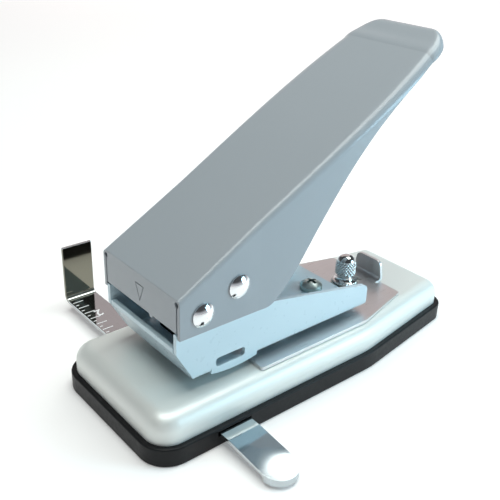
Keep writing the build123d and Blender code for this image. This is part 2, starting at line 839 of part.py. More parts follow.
def make_lever():
    """Folded hand lever: top, two swept flanges, a front face and a rolled end."""
    outer = lever_form(0)
    inner = lever_form(lever_sheet)
    reach = lever_half_width + max(extra for _, extra, _ in lever_swell) + cut_over
    outer &= side_solid(lever_side_outline(), -reach, reach)
    lever = outer - inner

    # Front top edge is folded, then the face is cut free of the flanges.
    flange_inner = lever_half_width - lever_sheet
    face_rear_y = lever_front_y + lever_sheet
    lever -= block(-flange_inner, flange_inner, lever_front_y - cut_over, face_rear_y + cut_over,
                   frame_foot, lever_face_foot)
    face_top = lever_top_z + (lever_front_y - lever_top_y) * slope_tan - lever_front_bend
    for side in (-1, 1):
        seam_outer = flange_inner + seam_bite / 2
        x_low, x_high = sorted((side * seam_outer, side * (seam_outer - lever_seam)))
        lever -= block(x_low, x_high, lever_front_y - cut_over, face_rear_y + seam_bite, frame_foot, face_top)
        notch_spot = Pos((x_low + x_high) / 2, lever_front_y + lever_sheet / 2, face_top)
        lever -= notch_spot * Rot(90, 0, 0) * Cylinder(lever_notch_radius, lever_sheet + 2 * cut_over)

    # Small half-round nub under the face, and the pressed arrow that shows the middle.
    nub = Pos(face_nub_x, lever_front_y + lever_sheet / 2, lever_face_foot) * Rot(90, 0, 0) * Cylinder(
        face_nub_radius, lever_sheet)
    lever += nub
    for side in (-1, 1):
        slant_dx = mark_half_width
        slant_dz = mark_top_z - mark_foot_z
        length = math.hypot(slant_dx, slant_dz)
        tilt = math.degrees(math.atan2(slant_dx, slant_dz)) * side
        lever -= Pos(side * mark_half_width / 2, lever_front_y, (mark_top_z + mark_foot_z) / 2) * Rot(
            0, tilt, 0) * Box(mark_groove, 2 * mark_depth, length)
    lever -= Pos(0, lever_front_y, mark_top_z) * Box(2 * mark_half_width, 2 * mark_depth, mark_groove)

    for y, z in ((pivot_y, pivot_z), (drive_y, drive_z)):
        lever -= cross_bore(pin_radius + run_clear, lever_half_width, y, z)
    return lever


# ---------------------------------------------------------------- depth plate and its lock
def make_depth_plate():
    """Sliding plate whose front edge stops the card, with a finger tab at the rear."""
    corners = [
        (-plate_half_width, plate_front_y),
        (plate_half_width, plate_front_y),
        (plate_half_width, plate_taper_y),
        (plate_rear_half_width, plate_rear_y),
        (-plate_rear_half_width, plate_rear_y),
        (-plate_half_width, plate_taper_y),
    ]
    outline = make_face(Polyline(*corners, close=True))
    outline = fillet(outline.vertices(), plate_corner)
    plate = extrude(Pos(0, 0, plate_foot) * outline, plate_thick)

    # Finger tab: folded up behind the rear edge, between two relief notches.
    tab_inner_y = plate_rear_y + tab_bend
    tab_outer_y = tab_inner_y + plate_thick
    arc_mid = math.sqrt(0.5)
    outer_bend = tab_bend + plate_thick
    fold = make_face(
        Line((plate_rear_y - tab_notch_depth, plate_foot), (plate_rear_y, plate_foot))
        + ThreePointArc((plate_rear_y, plate_foot),
                        (plate_rear_y + outer_bend * arc_mid, plate_foot + outer_bend * (1 - arc_mid)),
                        (tab_outer_y, plate_foot + outer_bend))
        + Polyline((tab_outer_y, plate_foot + outer_bend), (tab_outer_y, tab_top_z),
                   (tab_inner_y, tab_top_z), (tab_inner_y, plate_foot + outer_bend))
        + ThreePointArc((tab_inner_y, plate_foot + outer_bend),
                        (plate_rear_y + tab_bend * arc_mid, plate_top + tab_bend * (1 - arc_mid)),
                        (plate_rear_y, plate_top))
        + Polyline((plate_rear_y, plate_top), (plate_rear_y - tab_notch_depth, plate_top),
                   (plate_rear_y - tab_notch_depth, plate_foot))
    )
    tab = side_solid(fold, -tab_half_width, tab_half_width)
    front_view = make_face(Polyline(
        (-tab_half_width, plate_foot - cut_over), (tab_half_width, plate_foot - cut_over),
        (tab_half_width, plate_top + tab_bend), (tab_top_half_width, tab_top_z),
        (-tab_top_half_width, tab_top_z), (-tab_half_width, plate_top + tab_bend),
        close=True,
    ))
    front_view = fillet(front_view.vertices().sort_by(Axis.Y)[-2:], tab_radius)
    tab &= extrude(Plane.XZ.offset(-plate_rear_y) * front_view, 2 * outer_bend, both=True)
    for side in (-1, 1):
        x_low, x_high = sorted((side * tab_half_width, side * (tab_half_width + tab_notch)))
        plate -= block(x_low, x_high, plate_rear_y - tab_notch_depth, plate_rear_y + cut_over,
                       plate_foot - cut_over, plate_top + cut_over)
    plate += tab

    # Slots for the spacers of the frame screws, and for the knob's shank.
    travel = plate_forward + plate_back
    shift = (plate_forward - plate_back) / 2
    slot_wide = 2 * (spacer_radius + slot_clear)
    for x, y in screw_spots:
        plate -= slot_bore(travel + slot_wide, slot_wide, x, y + shift, plate_foot, plate_top, along_y=True)
    knob_wide = 2 * (knob_shank_radius + slot_clear)
    plate -= slot_bore(travel + knob_wide, knob_wide, 0, knob_y + shift, plate_foot, plate_top, along_y=True)
    return plate


def make_knob_washer():
    """Plain washer under the knob, wide enough to bridge the slot."""
    foot = plate_top + fit_clear
    return rod(washer_radius, 0, knob_y, foot, foot + washer_thick) - bore(
        knob_shank_radius + run_clear, 0, knob_y, foot, foot + washer_thick)


def make_lock_knob():
    """Thumbscrew with a toothed foot, a waist and a round body."""
    foot = plate_top + 2 * fit_clear + washer_thick
    neck = foot + knob_foot_height
    body = neck + knob_neck_height
    crown = body + knob_body_height
    top = crown + knob_crown_height
    body_mid = (body + crown) / 2
    shank_low = bed_foot - nut_height
    rim = foot + knob_foot_rim
    neck_top = body - knob_neck_fillet
    profile = make_face(
        Polyline((0, top), (0, shank_low), (knob_shank_radius, shank_low), (knob_shank_radius, foot))
        + Polyline((knob_shank_radius, foot), (knob_foot_radius, foot), (knob_foot_radius, rim))
        + ThreePointArc((knob_foot_radius, rim), (knob_neck_radius + knob_foot_flare, neck),
                        (knob_neck_radius, neck_top))
        + ThreePointArc((knob_neck_radius, neck_top), (knob_body_radius - knob_shoulder, body),
                        (knob_body_radius, body_mid))
        + ThreePointArc((knob_body_radius, body_mid),
                        (knob_body_radius - knob_shoulder / 2, crown - knob_neck_fillet),
                        (knob_crown_radius, crown))
        + crown_arc(knob_crown_radius, crown, top)
    )
    knob = revolve(Plane.XZ * profile, Axis.Z)
    tooth = Pos(knob_foot_radius, 0, foot) * Rot(0, 0, 45) * Box(
        2 * knob_tooth_depth, 2 * knob_tooth_depth, 2 * knob_foot_height)
    teeth = [Rot(0, 0, 360 * index / knob_teeth) * tooth for index in range(knob_teeth)]
    return Pos(0, knob_y, 0) * (knob - teeth)


def make_clamp_nut():
    """Hexagon nut under the bed plate, which takes the knob's shank."""
    outline = RegularPolygon(nut_flats / 2, 6, major_radius=False)
    nut = extrude(Pos(0, knob_y, bed_foot - nut_height) * outline, nut_height)
    return nut - bore(knob_shank_radius + run_clear, 0, knob_y, bed_foot - nut_height, bed_foot)


# ---------------------------------------------------------------- side guide
def make_side_guide():
    """Bright strip: an upstand for the card's edge, the sliding strip and a finger tongue."""
    low_z = strip_top_z - strip_thick
    outer_r = strip_bend + strip_thick
    diag = math.sqrt(0.5)
    bend_x = strip_far_x + outer_r
    upstand_inner_x = strip_far_x + strip_thick
    slope = math.radians(tongue_slope)
    tongue_run = tongue_tip_x - tongue_bend_x
    fall = tongue_run * math.tan(slope)
    profile = make_face(
        Polyline((strip_far_x, strip_upstand_top), (strip_far_x, low_z + outer_r))
        + ThreePointArc((strip_far_x, low_z + outer_r),
                        (bend_x - outer_r * diag, low_z + outer_r * (1 - diag)), (bend_x, low_z))
        + Polyline((bend_x, low_z), (tongue_bend_x, low_z), (tongue_tip_x, low_z - fall),
                   (tongue_tip_x, strip_top_z - fall), (tongue_bend_x, strip_top_z), (bend_x, strip_top_z))
        + ThreePointArc((bend_x, strip_top_z),
                        (bend_x - strip_bend * diag, strip_top_z + strip_bend * (1 - diag)),
                        (upstand_inner_x, low_z + outer_r))
        + Polyline((upstand_inner_x, low_z + outer_r), (upstand_inner_x, strip_upstand_top),
                   (strip_far_x, strip_upstand_top))
    )
    half = strip_width / 2
    strip = extrude(Plane.XZ.offset(-strip_y - half) * profile, strip_width)
    round_x = tongue_tip_x - half
    tip_disc = rod(half, round_x, strip_y, 0, strip_upstand_top)
    body = block(strip_far_x, round_x, strip_y - half, strip_y + half, 0, strip_upstand_top)
    strip &= body + tip_disc

    # The round tip is drawn down as a short lip.
    lip_top = strip_top_z - fall
    lip_foot = strip_top_z - (tongue_run - half) * math.tan(slope) - strip_thick - tongue_lip
    ring = rod(half, round_x, strip_y, lip_foot, lip_top)
    ring -= bore(half - strip_thick, round_x, strip_y, lip_foot, lip_top)
    ring &= block(round_x, tongue_tip_x, strip_y - half, strip_y + half, lip_foot, lip_top)
    return strip + ring


def make_guide_spring():
    """Bowed leaf under the bed plate, which steadies the side guide."""
    top = bed_foot
    low = strip_top_z + fit_clear
    profile = make_face(
        Line((-leaf_foot_x, top), (-leaf_bow_x, top))
        + ThreePointArc((-leaf_bow_x, top), (0, low + leaf_thick), (leaf_bow_x, top))
        + Polyline((leaf_bow_x, top), (leaf_foot_x, top), (leaf_foot_x, top - leaf_thick),
                   (leaf_bow_x, top - leaf_thick))
        + ThreePointArc((leaf_bow_x, top - leaf_thick), (0, low), (-leaf_bow_x, top - leaf_thick))
        + Polyline((-leaf_bow_x, top - leaf_thick), (-leaf_foot_x, top - leaf_thick), (-leaf_foot_x, top))
    )
    leaf = extrude(Plane.XZ.offset(-strip_y - leaf_half_width) * profile, 2 * leaf_half_width)
    for side in (-1, 1):
        leaf -= rod(leaf_screw_radius + run_clear, side * leaf_screw_x, strip_y, low, top + cut_over)
    return leaf


def make_leaf_screws():
    """Two screws that hold the leaf to the bed plate."""
    seat = bed_foot - leaf_thick
    return [
        pan_screw(side * leaf_screw_x, strip_y, seat, leaf_screw_head_radius, leaf_screw_head_height,
                  leaf_screw_radius, leaf_screw_length, upward=True)
        for side in (-1, 1)
    ]


# ---------------------------------------------------------------- write the parts
def write(node, shape):
    """Writes one node: one solid, or a group of separate solids."""
    if isinstance(shape, list):
        solids = [solid for piece in shape for solid in piece.solids()]
    else:
        solids = shape.solids()
    body = solids[0] if len(solids) == 1 else Compound(children=solids)
    body.label = node
    export_step(body, os.path.join("parts", node + ".step"))


makers = {
    "base_tray": make_base_tray,
    "base_cover": make_base_cover,
    "bed_plate": make_bed_plate,
    "die_plate": make_die_plate,
    "die_screws": make_die_screws,
    "frame_spacers": make_frame_spacers,
    "frame_screws": make_frame_screws,
    "punch_frame": make_punch_frame,
    "punch_guide": make_punch_guide,
    "guide_screws": make_guide_screws,
    "pivot_pin": lambda: pin_with_heads(pivot_y, pivot_z),
    "pivot_spacer": make_pivot_spacer,
    "drive_pin": lambda: pin_with_heads(drive_y, drive_z),
    "drive_spacers": make_drive_spacers,
    "punch_ram": make_punch_ram,
    "punch_blade": make_punch_blade,
    "blade_pin": make_blade_pin,
    "return_spring": make_return_spring,
    "lever": make_lever,
    "depth_plate": make_depth_plate,
    "knob_washer": make_knob_washer,
    "lock_knob": make_lock_knob,
    "clamp_nut": make_clamp_nut,
    "side_guide": make_side_guide,
    "guide_spring": make_guide_spring,
    "leaf_screws": make_leaf_screws,
}

if __name__ == "__main__":
    os.makedirs("parts", exist_ok=True)
    for node_name, maker in makers.items():
        write(node_name, maker())
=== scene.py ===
"""Looks of the card slot punch: finishes, spring, knurled knob, printed scale, light and camera.

Lengths are in millimetres in the size fields and become metres in the meshes. Only the studio's
own sizes are in metres.
"""

import logging
import math
from dataclasses import dataclass, field
from enum import Enum

import bmesh
import bpy
from mathutils import Matrix, Vector


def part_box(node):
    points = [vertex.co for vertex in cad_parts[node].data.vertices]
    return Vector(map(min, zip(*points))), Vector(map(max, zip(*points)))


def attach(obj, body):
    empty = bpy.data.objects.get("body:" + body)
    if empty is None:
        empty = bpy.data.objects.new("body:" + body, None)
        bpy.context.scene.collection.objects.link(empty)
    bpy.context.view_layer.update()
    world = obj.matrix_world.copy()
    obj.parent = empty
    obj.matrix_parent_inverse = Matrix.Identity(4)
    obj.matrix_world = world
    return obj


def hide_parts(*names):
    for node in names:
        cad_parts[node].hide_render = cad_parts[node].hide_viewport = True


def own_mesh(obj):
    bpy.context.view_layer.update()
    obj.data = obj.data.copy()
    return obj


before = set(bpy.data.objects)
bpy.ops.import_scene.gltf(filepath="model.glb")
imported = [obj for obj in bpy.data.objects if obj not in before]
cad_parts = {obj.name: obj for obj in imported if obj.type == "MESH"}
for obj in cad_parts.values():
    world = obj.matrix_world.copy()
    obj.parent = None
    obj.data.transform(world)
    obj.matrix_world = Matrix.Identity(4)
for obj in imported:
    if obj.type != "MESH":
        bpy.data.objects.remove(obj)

MM = 0.001
WELD_M = 1e-6
EDGE_SAMPLES = 6
NOISE_LOW, NOISE_HIGH = 0.25, 0.75
MIX_FACTOR, MIX_FIRST, MIX_SECOND, MIX_RESULT = 0, 6, 7, 2
Colour = tuple[float, float, float]
Socket = bpy.types.NodeSocket
log = logging.getLogger("slot_punch")


class Grain(Enum):
    """Fine lines that rolling, brushing or turning leaves, as features per metre on X, Y and Z."""

    ALONG_X = (40.0, 2600.0, 2600.0)
    ALONG_Y = (2600.0, 40.0, 2600.0)
    ALONG_Z = (2600.0, 2600.0, 40.0)
    EVEN = (900.0, 900.0, 900.0)


def fill(node: bpy.types.Node, **values: object) -> None:
    """Sets values on a node's own sockets.

    Args:
        node: the node.
        values: a value for each socket, with _ for spaces in its name.
    """
    for name, value in values.items():
        node.inputs[name.replace("_", " ")].default_value = value


class Graph:
    """Builds the node tree of one material around a Principled shader."""

    def __init__(self, name: str) -> None:
        """Starts an empty tree with a shader and an output.

        Args:
            name: the material's name.
        """
        self.material = bpy.data.materials.new(name)
        self.material.use_nodes = True
        self.tree = self.material.node_tree
        self.tree.nodes.clear()
        self.shader = self.tree.nodes.new("ShaderNodeBsdfPrincipled")
        output = self.tree.nodes.new("ShaderNodeOutputMaterial")
        self.link(self.shader.outputs["BSDF"], output.inputs["Surface"])
        self.place = self.tree.nodes.new("ShaderNodeTexCoord").outputs["Object"]

    def link(self, source: Socket, target: Socket) -> None:
        """Joins two sockets."""
        self.tree.links.new(source, target)

    def noise(self, scale: float | tuple[float, float, float], detail: float = 3.0,
              roughness: float = 0.5) -> Socket:
        """Adds a noise in metres of the part.

        Args:
            scale: features per metre, one number or one for each axis.
            detail: octaves of the noise.
            roughness: strength of the finer octaves.

        Returns:
            The noise's value socket.
        """
        spread = self.tree.nodes.new("ShaderNodeMapping")
        each = scale if isinstance(scale, tuple) else (scale, scale, scale)
        fill(spread, Scale=each)
        texture = self.tree.nodes.new("ShaderNodeTexNoise")
        fill(texture, Scale=1.0, Detail=detail, Roughness=roughness)
        self.link(self.place, spread.inputs["Vector"])
        self.link(spread.outputs["Vector"], texture.inputs["Vector"])
        return texture.outputs["Fac"]

    def remap(self, value: Socket, start: float, end: float, low: float, high: float) -> Socket:
        """Maps a range of values to another, and holds it at its ends.

        Args:
            value: the value.
            start: value that gives low.
            end: value that gives high.
            low: result at the start.
            high: result at the end.

        Returns:
            The mapped value's socket.
        """
        mapping = self.tree.nodes.new("ShaderNodeMapRange")
        fill(mapping, From_Min=start, From_Max=end, To_Min=low, To_Max=high)
        self.link(value, mapping.inputs["Value"])
        return mapping.outputs["Result"]

    def ramp(self, value: Socket, low: float, high: float) -> Socket:
        """Maps the middle half of a noise to a range of values."""
        return self.remap(value, NOISE_LOW, NOISE_HIGH, low, high)

    def blend(self, value: Socket, first: Colour, second: Colour) -> Socket:
        """Mixes two colours by a value.

        Args:
            value: 0 for the first colour, 1 for the second.
            first: linear colour.
            second: linear colour.

        Returns:
            The mixed colour's socket.
        """
        mix = self.tree.nodes.new("ShaderNodeMix")
        mix.data_type = "RGBA"
        self.link(value, mix.inputs[MIX_FACTOR])
        mix.inputs[MIX_FIRST].default_value = (*first, 1.0)
        mix.inputs[MIX_SECOND].default_value = (*second, 1.0)
        return mix.outputs[MIX_RESULT]

    def math(self, operation: str, *terms: Socket | float) -> Socket:
        """Adds one step of arithmetic.

        Args:
            operation: the step's name.
            terms: its inputs in order, each a socket or a number.

        Returns:
            The result's socket.
        """
        step = self.tree.nodes.new("ShaderNodeMath")
        step.operation = operation
        for socket, term in zip(step.inputs, terms):
            if isinstance(term, Socket):
                self.link(term, socket)
            else:
                socket.default_value = term
        return step.outputs[0]

    def tint(self, value: Socket, first: Colour, second: Colour) -> None:
        """Colours the surface with two colours mixed by a value."""
        self.link(self.blend(value, first, second), self.shader.inputs["Base Color"])

    def dull(self, value: Socket, low: float, high: float) -> None:
        """Spreads the surface's roughness over the middle half of a noise."""
        self.link(self.ramp(value, low, high), self.shader.inputs["Roughness"])

    def relief(self, value: Socket, height_mm: float, edge_mm: float = 0.0) -> None:
        """Bumps the surface and eases its sharp edges.

        Args:
            value: the height, from 0 to 1.
            height_mm: height at 1.
            edge_mm: radius that sharp edges seem to have.
        """
        bump = self.tree.nodes.new("ShaderNodeBump")
        fill(bump, Strength=1.0, Distance=height_mm * MM)
        self.link(value, bump.inputs["Height"])
        if edge_mm:
            ease = self.tree.nodes.new("ShaderNodeBevel")
            ease.samples = EDGE_SAMPLES
            fill(ease, Radius=edge_mm * MM)
            self.link(ease.outputs["Normal"], bump.inputs["Normal"])
        self.link(bump.outputs["Normal"], self.shader.inputs["Normal"])


@dataclass(frozen=True)
class Paint:
    """Sprayed or stove enamelled steel."""

    name: str
    colour: Colour
    shade: Colour
    roughness: float
    coat: float
    peel_mm: float = 0.004
    edge_mm: float = 0.35
    coat_roughness: float = 0.08
    specular: float = 0.35
    drift_per_m: float = 28.0
    speckle_per_m: float = 450.0
    peel_per_m: float = 1100.0
    smooth_share: float = 0.85
    rough_share: float = 1.2

    def make(self) -> bpy.types.Material:
        """Builds the paint: slow tone drift, orange peel and a clear gloss.

        Returns:
            The material.
        """
        graph = Graph(self.name)
        fill(graph.shader, Coat_Weight=self.coat, Coat_Roughness=self.coat_roughness,
             Specular_IOR_Level=self.specular)
        graph.tint(graph.noise(self.drift_per_m, detail=2.0), self.colour, self.shade)
        graph.dull(graph.noise(self.speckle_per_m, detail=4.0),
                   self.roughness * self.smooth_share, self.roughness * self.rough_share)
        graph.relief(graph.noise(self.peel_per_m, detail=2.0), self.peel_mm, self.edge_mm)
        return graph.material


@dataclass(frozen=True)
class Metal:
    """Bare or plated metal with fine lines."""

    name: str
    colour: Colour
    shade: Colour
    roughness: float
    grain: Grain
    line_mm: float
    edge_mm: float = 0.15
    patch_per_m: float = 90.0
    line_share: float = 0.5
    smooth_share: float = 0.7
    rough_share: float = 1.4

    def make(self) -> bpy.types.Material:
        """Builds the metal: its grain runs through tone, roughness and height.

        Returns:
            The material.
        """
        graph = Graph(self.name)
        fill(graph.shader, Metallic=1.0)
        lines = graph.noise(self.grain.value, detail=4.0, roughness=0.6)
        patches = graph.ramp(graph.noise(self.patch_per_m), 0.0, 1.0 - self.line_share)
        both = graph.math("MULTIPLY_ADD", lines, self.line_share, patches)
        graph.tint(both, self.colour, self.shade)
        graph.dull(lines, self.roughness * self.smooth_share, self.roughness * self.rough_share)
        graph.relief(lines, self.line_mm, self.edge_mm)
        self.form(graph)
        return graph.material

    def form(self, graph: Graph) -> None:
        """Adds slow changes along the surface, none on plain metal."""


@dataclass(frozen=True)
class DishedStrip(Metal):
    """Bright strip with a painted reflection that darkens its upstand, and a crowned, worn finger
    end.

    The crown starts at an arc across the strip and falls off with the distance past it.
    """

    crown_start_mm: float = 44.5
    crown_per_mm: float = 0.0135
    middle_y_mm: float = -46.0
    sides_per_mm: float = 0.08
    wear_per_mm: float = 0.022
    # Painted reflection on the upstand: its dark olive colour, where it fades in and where it stops
    # below the top edge.
    painted_reflection: Colour = (0.19, 0.18, 0.135)
    painted_reflection_start_mm: float = -72.5
    painted_reflection_full_mm: float = -75.0
    painted_reflection_top_mm: float = 29.1

    def form(self, graph: Graph) -> None:
        """Paints a dark reflection onto the upstand, then wears and crowns the finger end.

        Args:
            graph: the strip's node tree.
        """
        place = graph.tree.nodes.new("ShaderNodeSeparateXYZ")
        graph.link(graph.place, place.inputs[0])
        self.paint_upstand_reflection(graph, place)
        past = self.past_arc(graph, place)
        self.wear(graph, past)
        self.crown(graph, past)

    def paint_upstand_reflection(self, graph: Graph, place: bpy.types.Node) -> None:
        """Paints a dark reflection onto the upstand below its top edge, which keeps the strip's own
        colour.

        Args:
            graph: the strip's node tree.
            place: node that splits the place into X, Y and Z.
        """
        # Painted reflection: the upright face is darkened to the olive tone of the dark
        # surroundings it mirrors.
        upright = graph.remap(place.outputs["X"], self.painted_reflection_start_mm * MM,
                              self.painted_reflection_full_mm * MM, 0.0, 1.0)
        below_top = graph.math("LESS_THAN", place.outputs["Z"], self.painted_reflection_top_mm * MM)
        share = graph.math("MULTIPLY", below_top, upright)
        base = graph.shader.inputs["Base Color"]
        plain = base.links[0].from_socket
        tinted = graph.blend(share, self.colour, self.painted_reflection)
        graph.link(plain, tinted.node.inputs[MIX_FIRST])
        graph.link(tinted, base)

    def past_arc(self, graph: Graph, place: bpy.types.Node) -> Socket:
        """Measures how far a place lies past the arc where the crown starts.

        Args:
            graph: the strip's node tree.
            place: node that splits the place into X, Y and Z.

        Returns:
            The distance in metres, 0 before the arc.
        """
        across = graph.math("SUBTRACT", place.outputs["Y"], self.middle_y_mm * MM)
        squared = graph.math("POWER", across, 2.0)
        arc = graph.math("MULTIPLY_ADD", squared, self.sides_per_mm / MM, self.crown_start_mm * MM)
        return graph.math("MAXIMUM", graph.math("SUBTRACT", place.outputs["X"], arc), 0.0)

    def wear(self, graph: Graph, past: Socket) -> None:
        """Dulls the finger end, more towards its tip.

        Args:
            graph: the strip's node tree.
            past: distance past the arc, in metres.
        """
        rough = graph.shader.inputs["Roughness"]
        plain = rough.links[0].from_socket
        graph.link(graph.math("MULTIPLY_ADD", past, self.wear_per_mm / MM, plain), rough)

    def crown(self, graph: Graph, past: Socket) -> None:
        """Curves the finger end down in a parabola under its grain.

        Args:
            graph: the strip's node tree.
            past: distance past the arc, in metres.
        """
        squared = graph.math("POWER", past, 2.0)
        height = graph.math("MULTIPLY", squared, -self.crown_per_mm / MM / 2)
        bend = graph.tree.nodes.new("ShaderNodeBump")
        fill(bend, Distance=1.0)
        graph.link(height, bend.inputs["Height"])
        grain = graph.shader.inputs["Normal"].links[0].from_node
        graph.link(grain.inputs["Normal"].links[0].from_socket, bend.inputs["Normal"])
        graph.link(bend.outputs["Normal"], grain.inputs["Normal"])


@dataclass(frozen=True)
class Rubber:
    """Black moulded rubber with a fine grain."""

    name: str
    colour: Colour
    dust: Colour
    roughness: float
    specular: float = 0.2
    dust_per_m: float = 160.0
    speckle_per_m: float = 700.0
    grain_per_m: float = 2400.0
    grain_mm: float = 0.02
    edge_mm: float = 0.3
    smooth_share: float = 0.85
    rough_share: float = 1.15

    def make(self) -> bpy.types.Material:
        """Builds the rubber: grain, and a trace of dust.

        Returns:
            The material.
        """
        graph = Graph(self.name)
        fill(graph.shader, Specular_IOR_Level=self.specular)
        graph.tint(graph.noise(self.dust_per_m, detail=5.0), self.colour, self.dust)
        graph.dull(graph.noise(self.speckle_per_m),
                   self.roughness * self.smooth_share, self.roughness * self.rough_share)
        graph.relief(graph.noise(self.grain_per_m), self.grain_mm, self.edge_mm)
        return graph.material


@dataclass(frozen=True)
class Ink:
    """Printed white marks, a little uneven."""

    name: str
    colour: Colour
    thin: Colour
    smooth: float = 0.3
    rough: float = 0.5
    thin_per_m: float = 1500.0
    speckle_per_m: float = 900.0
    grain_per_m: float = 3000.0
    grain_mm: float = 0.003

    def make(self) -> bpy.types.Material:
        """Builds the ink: thin spots let the metal's tone through.

        Returns:
            The material.
        """
        graph = Graph(self.name)
        graph.tint(graph.noise(self.thin_per_m), self.colour, self.thin)
        graph.dull(graph.noise(self.speckle_per_m), self.smooth, self.rough)
        graph.relief(graph.noise(self.grain_per_m), self.grain_mm)
        return graph.material


@dataclass(frozen=True)
class Ground:
    """Seamless pale paper under the object."""

    name: str
    colour: Colour
    shade: Colour
    glow: float
    far_glow: float
    near_m: float = 0.25
    far_m: float = 1.1
    roughness: float = 0.8
    drift_per_m: float = 6.0

    def make(self) -> bpy.types.Material:
        """Builds the paper, lit a little from below as on a light table, more so far off.

        Returns:
            The material.
        """
        graph = Graph(self.name)
        graph.tint(graph.noise(self.drift_per_m), self.colour, self.shade)
        fill(graph.shader, Roughness=self.roughness, Emission_Color=(1.0, 1.0, 1.0, 1.0))
        reach = graph.tree.nodes.new("ShaderNodeVectorMath")
        reach.operation = "LENGTH"
        graph.link(graph.place, reach.inputs[0])
        glow = graph.remap(reach.outputs["Value"], self.near_m, self.far_m,
                           self.glow, self.far_glow)
        graph.link(glow, graph.shader.inputs["Emission Strength"])
        return graph.material


class Finish(Enum):
    """Every finish on the object and its floor."""

    TRAY = Rubber("tray_rubber", (0.004, 0.004, 0.005), (0.010, 0.010, 0.011), 0.42)
    COVER = Paint("cover_enamel", (0.565, 0.62, 0.63), (0.53, 0.58, 0.595), 0.28, 0.5, 0.003)
    FRAME = Paint("frame_enamel", (0.59, 0.73, 0.79), (0.555, 0.695, 0.76), 0.3, 0.5, 0.002, 0.0)
    LEVER = Paint("lever_satin_paint", (0.335, 0.366, 0.392), (0.322, 0.353, 0.380), 0.36, 0.35,
                  0.002, 0.4)
    PIN = Metal("pin_chrome", (0.62, 0.66, 0.69), (0.52, 0.56, 0.59), 0.13, Grain.EVEN, 0.0006)
    GUIDE = DishedStrip("guide_bright_plate", (0.56, 0.60, 0.62), (0.49, 0.52, 0.53), 0.06,
                        Grain.ALONG_X, 0.0003)
    PLATE = Metal("plate_brushed_steel", (0.73, 0.72, 0.72), (0.64, 0.63, 0.64), 0.34,
                  Grain.ALONG_Y, 0.0012)
    KNOB = Metal("knob_nickel", (0.50, 0.64, 0.68), (0.36, 0.49, 0.53), 0.17, Grain.EVEN, 0.001,
                 0.0)
    ZINC = Metal("zinc_plated_steel", (0.66, 0.69, 0.70), (0.48, 0.51, 0.52), 0.25, Grain.EVEN,
                 0.003)
    TOOL = Metal("ground_tool_steel", (0.50, 0.51, 0.53), (0.36, 0.37, 0.39), 0.2, Grain.ALONG_X,
                 0.002)
    SPRING = Metal("spring_steel_wire", (0.52, 0.53, 0.55), (0.38, 0.39, 0.41), 0.3, Grain.EVEN,
                   0.002, 0.0)
    SCREW = Metal("zinc_plated_screws", (0.56, 0.63, 0.60), (0.42, 0.48, 0.46), 0.36, Grain.EVEN,
                  0.003)
    # Painted shade: the guide block is made near black so that the inside of the frame's mouth
    # looks shaded.
    BLOCK = Metal("guide_block_painted_shade", (0.055, 0.055, 0.06), (0.03, 0.03, 0.034), 0.5,
                  Grain.ALONG_Z, 0.003)
    INK = Ink("scale_white_ink", (0.90, 0.90, 0.90), (0.72, 0.72, 0.73))
    FLOOR = Ground("floor_paper", (0.87, 0.85, 0.84), (0.85, 0.83, 0.82), 0.18, 0.60)

    def material(self) -> bpy.types.Material:
        """Returns this finish's material, made on first use."""
        return bpy.data.materials.get(self.value.name) or self.value.make()


def dress(node: str, finish: Finish) -> None:
    """Gives a CAD node its finish.

    Args:
        node: the CAD node.
        finish: its finish.
    """
    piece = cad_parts[node]
    piece.data.materials.clear()
    piece.data.materials.append(finish.material())
    log.info("dressed %s with %s", node, finish.value.name)


def place_mesh(name: str, mesh: bpy.types.Mesh, finish: Finish) -> bpy.types.Object:
    """Puts a finished mesh in the scene as an object at the origin.

    Args:
        name: the piece's name.
        mesh: its mesh, in metres.
        finish: its finish.

    Returns:
        The linked object.
    """
    mesh.materials.clear()
    mesh.materials.append(finish.material())
    piece = bpy.data.objects.new(name, mesh)
    bpy.context.scene.collection.objects.link(piece)
    return piece


def make_object(name: str, shape: bmesh.types.BMesh, finish: Finish) -> bpy.types.Object:
    """Turns a finished bmesh into an object at the origin.

    Args:
        name: the piece's name.
        shape: its mesh, in metres, freed here.
        finish: its finish.

    Returns:
        The linked object.
    """
    mesh = bpy.data.meshes.new(name)
    shape.to_mesh(mesh)
    shape.free()
    return place_mesh(name, mesh, finish)


@dataclass
class SubAssembly:
    """Pieces that are built together, with the finishes of their CAD nodes."""

    finishes: dict[str, Finish] = field(default_factory=dict)

    def dress_nodes(self) -> None:
        """Gives each CAD node its finish."""
        for node, finish in self.finishes.items():
            dress(node, finish)

    def build(self) -> None:
        """Dresses the nodes, which is all that a sub-assembly with no new piece needs."""
        self.dress_nodes()


@dataclass
class Base(SubAssembly):
    """Chip tray, enamelled cover and the plate inside."""

    finishes: dict[str, Finish] = field(default_factory=lambda: {
        "base_tray": Finish.TRAY,
        "base_cover": Finish.COVER,
        "bed_plate": Finish.ZINC,
    })


